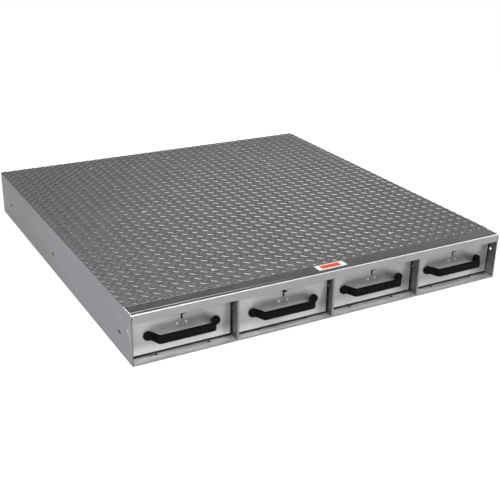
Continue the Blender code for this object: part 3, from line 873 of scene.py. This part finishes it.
def head_tree():
    tree, given = tool_tree("heads_on_points", Head="Object", Size="Float", Spin="Float",
                            Unevenness="Float", Finish="Material")
    head = node(tree, "GeometryNodeObjectInfo", given["Head"])
    facing = node(tree, "GeometryNodeInputNamedAttribute", data_type="FLOAT_VECTOR",
                  Name="facing")
    aim = node(tree, "FunctionNodeAlignRotationToVector", axis="Z",
               Vector=facing.outputs["Attribute"])
    lowest = calc(tree, "SUBTRACT", 1, given["Unevenness"])
    size = calc(tree, "MULTIPLY", chance(tree, 11, lowest, 1), given["Size"])
    laid = node(tree, "GeometryNodeInstanceOnPoints", Points=given["Geometry"],
                Instance=head.outputs["Geometry"], Rotation=aim.outputs[0], Scale=size)
    turn = combined(tree, None, None, chance(tree, 7, 0, given["Spin"]))
    spun = node(tree, "GeometryNodeRotateInstances", Instances=laid.outputs[0], Rotation=turn)
    close_tree(tree, given, spun.outputs[0])
    return tree


heads_on_points = head_tree()


def set_heads(name, head, spots, finish, body="case", slot="mill", size=1.0, spin=6.28,
              unevenness=0.0, smooth=False):
    """Set one kind of head on (place, facing) spots, as one piece."""
    points = bpy.data.meshes.new(name)
    points.from_pydata([place for place, _ in spots], [], [])
    facing = points.attributes.new("facing", "FLOAT_VECTOR", "POINT")
    for entry, (_, direction) in zip(facing.data, spots):
        entry.vector = direction
    pattern = show(name + "_pattern", heads[head].copy())
    mesh = run_tree(heads_on_points, name, points, Head=pattern, Size=size, Spin=spin,
                    Unevenness=unevenness, Finish=finish)
    bpy.data.objects.remove(pattern)
    if smooth:
        mesh.shade_smooth()
    attach(show(name, mesh), body, slot)
    print(name, len(spots))


# %% Welds in the deck, and fasteners of the walls and the sill
sides = ((left, -1), (right, 1))
wall_lines = [left + bay_pitch, 0.0, right - bay_pitch]
deck_spots = [((x, front_edge + depth, plate_top), (0, 0, 1))
              for x in wall_lines for depth in (0.152, 0.402, 0.652, 0.899, 1.149)]
set_heads("deck_plug_welds", "weld", deck_spots, cut_edge_and_highlight, slot="tread", unevenness=0.15,
          smooth=True)

side_spots = [((x, front_edge + depth, 0.060), (side, 0, 0))
              for x, side in sides for depth in (0.088, 0.651, 1.130)]
# Each screw sits on a flat dark oval, painted shade of its access hole
set_heads("side_access_holes", "hole", side_spots, bore_shade, spin=0.0)
off_center = [((x, y + 0.0035, z - 0.0012), facing) for (x, y, z), facing in side_spots]
set_heads("side_screws", "countersunk", off_center, zinc_plate, size=0.8)

half_bore_pitch, sill_top = 0.0762, 0.0048
pan_bores = [((left + bay_pitch * (bay - 0.5) + side * half_bore_pitch, front_edge + 0.025,
               sill_top), (0, 0, 1)) for bay in bays for side in (-1, 1)]
# Dark rings of painted shade around the sill's bolt holes
set_heads("sill_eyelets", "flat_ring", pan_bores, bore_shade)
lock_holes = [((x, front_edge + 0.024, 0.089), (side, 0, 0)) for x, side in sides]
# Bright rings around the lock rod's holes, as a painted highlight
set_heads("lock_hole_rims", "flat_ring", lock_holes, rivet_metal, size=1.65)

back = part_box("back_panel")[1].y - back_inset
back_lines = [left + 0.02, *(x + shift for x in wall_lines for shift in (-0.012, 0.012)),
              right - 0.02]
back_spots = [((x, back, z), (0, 1, 0)) for x in back_lines for z in (0.03, 0.112)]
set_heads("back_rivets", "rivet", back_spots, rivet_metal, size=1.15, smooth=True)

# %% Weld beads along the seams
def beads(start, end, facing, pitch=0.0021):
    """Overlapping beads between two points, as a welder's ripples."""
    start, end = Vector(start), Vector(end)
    count = max(2, round((end - start).length / pitch))
    return [(start.lerp(end, share), facing) for share in steps(0, 1, count - 1)]


sooty, bright = [], []
bead_z = header_high.z - 0.0004
for x, side in sides:
    near, far = x - 0.0012 * side, x - 0.0034 * side
    sooty += beads((near, front_edge + 0.0004, 0.1400), (near, front_edge + 0.0004, 0.1240),
                   (0, -1, 0))
    bright += beads((near, front_edge + 0.004, bead_z), (near, front_edge + 0.070, bead_z),
                    (0, 0, 1))
    for z in (0.022, 0.078, 0.130):
        sooty += beads((far, back, z - 0.010), (far, back, z + 0.010), (side * 0.5, 0.85, 0))
set_heads("header_welds", "bead", bright, rivet_metal, slot="header", size=0.9,
          unevenness=0.3, smooth=True)
set_heads("corner_welds", "bead", sooty, sooty_weld, size=0.9, unevenness=0.3, smooth=True)

# %% [markdown]
# ## Drawer hardware
# Two domed rivets under each latch slot hold the latch's housing. Inside, two bolts with
# washers hold the handle, and pan head screws join the tray to its slides. All move with the
# drawer, so each drawer has its own set.

# %% Rivets, bolts and screws of the drawers
tray_wall, handle_span = 0.0016, 0.195
rivet_z, screw_z = 0.078, 0.0564
for bay in bays:
    body = f"drawer_{bay}"
    front_low, front_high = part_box(body + "_front")
    box_low, box_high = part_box(body + "_box")
    grip_low, grip_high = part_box(body + "_handle")
    middle = (front_low.x + front_high.x) / 2
    rivets = [((middle + shift, front_low.y, rivet_z), (0, -1, 0)) for shift in (-0.013, 0.013)]
    set_heads(f"latch_{bay}_rivets", "rivet", rivets, zinc_plate, body, "zinc", size=1.7,
              smooth=True)
    boss_z = (grip_low.z + grip_high.z) / 2
    bolts = [((middle + side * handle_span / 2, box_low.y + tray_wall, boss_z), (0, 1, 0))
             for side in (-1, 1)]
    set_heads(body + "_handle_bolts", "bolt", bolts, zinc_plate, body, "zinc")
    screws = [((x, box_low.y + (box_high.y - box_low.y) * share, screw_z), (side, 0, 0))
              for x, side in ((box_low.x + tray_wall, 1), (box_high.x - tray_wall, -1))
              for share in (0.06, 0.3, 0.55, 0.8, 0.95)]
    set_heads(body + "_slide_screws", "pan", screws, zinc_plate, body, "zinc")

# %% [markdown]
# ## Moulded handles
# Each handle is one moulding: a flat bow that ends in a round boss at either side, with a
# soft hollow where they meet. Joined solids leave a sharp crease there, so a voxel remesh
# makes one even skin of the swept bow and the turned bosses. Smoothing that skin rounds the
# creases the way a mould does. The four are alike, so one is made and copied. The black is
# not one colour: fine grain breaks up the shine, and handling polishes it in patches.

# %% Black moulding material
black, tree, shader = new_material("moulded_black")
worn, grain = noise(tree, 45, detail=4.0), noise(tree, 1500, detail=2.0)
tone = between(tree, blend(tree, worn, grain, 0.5), (0.35, 0.0022), (0.7, 0.006))
fill(tree, shader, {"Base Color": tone, "Roughness": remap(tree, worn, 0.3, 0.7, 0.42, 0.56),
                    "Specular IOR Level": 0.05, "Normal": relief(tree, grain, 0.5, 0.0002)})
print("material:", black.name)

# %% Bow and bosses
def bent(points, radius):
    """A path through the points whose inner corners are rounded."""
    path = [points[0]]
    for before, corner, after in zip(points, points[1:], points[2:]):
        to_before, to_after = (before - corner).normalized(), (after - corner).normalized()
        half = to_before.angle(to_after) / 2
        reach = radius / math.tan(half)
        middle = corner + (to_before + to_after).normalized() * radius / math.sin(half)
        start, end = corner + to_before * reach - middle, corner + to_after * reach - middle
        path += [middle + start.lerp(end, share).normalized() * radius
                 for share in steps(0, 1, 8)]
    return path + [points[-1]]


def bow(bm, span, reach, inset, thickness, root_height, grip_height):
    """A flat bar along a bent path, a little taller at the grip than at its feet, which lie
    flat on the bosses."""
    half, seat = span / 2, -0.0065
    corners = [(half, seat), (half - 0.40 * inset, seat), (half - inset, -reach)]
    path = bent([Vector((-x, y, 0)) for x, y in corners]
                + [Vector((x, y, 0)) for x, y in reversed(corners)], 0.005)

    def squarish(value):
        """A circle's cosine or sine, pushed out towards a square's with round corners."""
        return math.copysign(abs(value) ** 0.35, value)

    rings = []
    for i, place in enumerate(path):
        ahead = (path[min(i + 1, len(path) - 1)] - path[max(i - 1, 0)]).normalized()
        across = Vector((ahead.y, -ahead.x, 0))
        tall = root_height + (grip_height - root_height) * -place.y / reach
        rings.append([bm.verts.new(place + across * thickness / 2 * squarish(math.cos(turn))
                                   + Vector((0, 0, tall / 2)) * squarish(math.sin(turn)))
                      for turn in angles(24, shift=0.5)])
    closed(bm, rings)


def boss(bm, x, radius, thickness, crown):
    """A round seat with a rounded rim and a slightly domed face."""
    rim = [(radius - crown * (1 - math.cos(turn)), -(thickness - crown) - crown * math.sin(turn))
           for turn in steps(0, quarter, 6)]
    profile = [(radius, 0.0), *rim, (0.5 * radius, -thickness - 0.0004),
               (0.15 * radius, -thickness - 0.0006)]
    closed(bm, [[bm.verts.new((x + r * math.cos(turn), y, r * math.sin(turn)))
                 for turn in angles(40)] for r, y in profile])


# %% One skin, and its copies
bm = bmesh.new()
bow(bm, handle_span, reach=0.0350, inset=0.0195, thickness=0.011, root_height=0.0215,
    grip_height=0.0235)
for side in (-1, 1):
    boss(bm, side * handle_span / 2, radius=0.01325, thickness=0.0082, crown=0.0035)
host = show("handle_host", as_mesh(bm, "handle"))
skin = host.modifiers.new("skin", "REMESH")
skin.mode, skin.voxel_size, skin.use_smooth_shade = "VOXEL", 0.0010, True
soft = host.modifiers.new("soft", "SMOOTH")
soft.factor, soft.iterations = 0.5, 5
handle_skin = evaluated_mesh(host)
for bay in bays:
    low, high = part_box(f"drawer_{bay}_handle")
    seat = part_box(f"drawer_{bay}_front")[0].y - 0.0003
    mesh = handle_skin.copy()
    mesh.transform(Matrix.Translation(((low.x + high.x) / 2, seat, (low.z + high.z) / 2)))
    mesh.shade_smooth()
    attach(show(f"drawer_{bay}_handle_moulding", mesh, black), f"drawer_{bay}", "black",
           f"drawer_{bay}_handle")
print("handle faces:", len(handle_skin.polygons))

# %% [markdown]
# ## Latch springs
# A coil spring behind each thumb tab pushes the bolt up. A bevelled curve would do, but rings
# of points are just as short to write and give a plain mesh at once. Its first and last turns
# lie close, as ground end coils do. It flattens when the latch is pressed.

# %% Coil springs
def coil(low, high, radius, wire, turns=6):
    """A round wire wound upwards, with closed end coils."""
    bm = bmesh.new()
    rings = []
    upward = Vector((0, 0, 1))
    for share in steps(0, 1, 18 * turns):
        rise = share - 0.055 * math.sin(2 * math.pi * share)
        turn = 2 * math.pi * turns * share
        out = Vector((math.cos(turn), math.sin(turn), 0))
        place = out * radius + upward * (wire / 2 + (high - low - wire) * rise)
        rings.append([bm.verts.new(place + (out * math.cos(a) + upward * math.sin(a)) * wire / 2)
                      for a in angles(8)])
    closed(bm, rings)
    return as_mesh(bm, "coil", smooth=True)


for bay in bays:
    low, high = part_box(f"latch_{bay}_spring")
    mesh = coil(low.z, high.z, (high.x - low.x) / 2 - 0.0004, 0.0008)
    mesh.transform(Matrix.Translation(((low.x + high.x) / 2, (low.y + high.y) / 2, low.z)))
    spring = show(f"latch_{bay}_coil", mesh, zinc_plate)
    attach(spring, f"drawer_{bay}", "zinc", f"latch_{bay}_spring")
    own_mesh(spring)

# %% [markdown]
# ## Label plate
# A small plate is stuck on the header's top near the middle. It is left generic: a white
# plate with a plain red-orange band and nothing written on it. The band is a second, thinner
# layer, as printed film is, so its edge stays crisp at any distance.

# %% Label
def printed_film(name, color, roughness):
    material, tree, shader = new_material(name)
    worn = noise(tree, 60, detail=4.0)
    fill(tree, shader, {"Base Color": between(tree, worn, (0.3, shade(color, 0.93)), (0.7, color)),
                        "Roughness": remap(tree, worn, 0.3, 0.7, roughness, roughness + 0.15)})
    return material


def rounded_plate(low, high, radius):
    """A flat plate with round corners, as a closed mesh."""
    outline = []
    for corner in range(4):
        x = low.x + radius if corner in (1, 2) else high.x - radius
        y = low.y + radius if corner in (2, 3) else high.y - radius
        for turn in steps(quarter * corner, quarter * (corner + 1), 6):
            outline.append((x + radius * math.cos(turn), y + radius * math.sin(turn)))
    bm = bmesh.new()
    closed(bm, [[bm.verts.new((x, y, z)) for x, y in outline] for z in (low.z, high.z)])
    return as_mesh(bm, "plate")


label_low = Vector((-0.040, front_edge + 0.018, header_high.z - 0.0001))
label_high = Vector((0.055, front_edge + 0.048, header_high.z + 0.0005))
band_low = label_low + Vector((0.014, 0.0055, 0.0005))
band_high = label_high + Vector((-0.017, -0.0045, 0.00015))
attach(show("label_backing", rounded_plate(label_low, label_high, 0.003),
            printed_film("label_white", (0.86, 0.86, 0.85), 0.35)), "case", "header")
attach(show("label_band", rounded_plate(band_low, band_high, 0.001),
            printed_film("label_red", (0.72, 0.045, 0.004), 0.6)), "case", "header")
print("label size in mm:", [round(1000 * v, 1) for v in (label_high - label_low)[:2]])
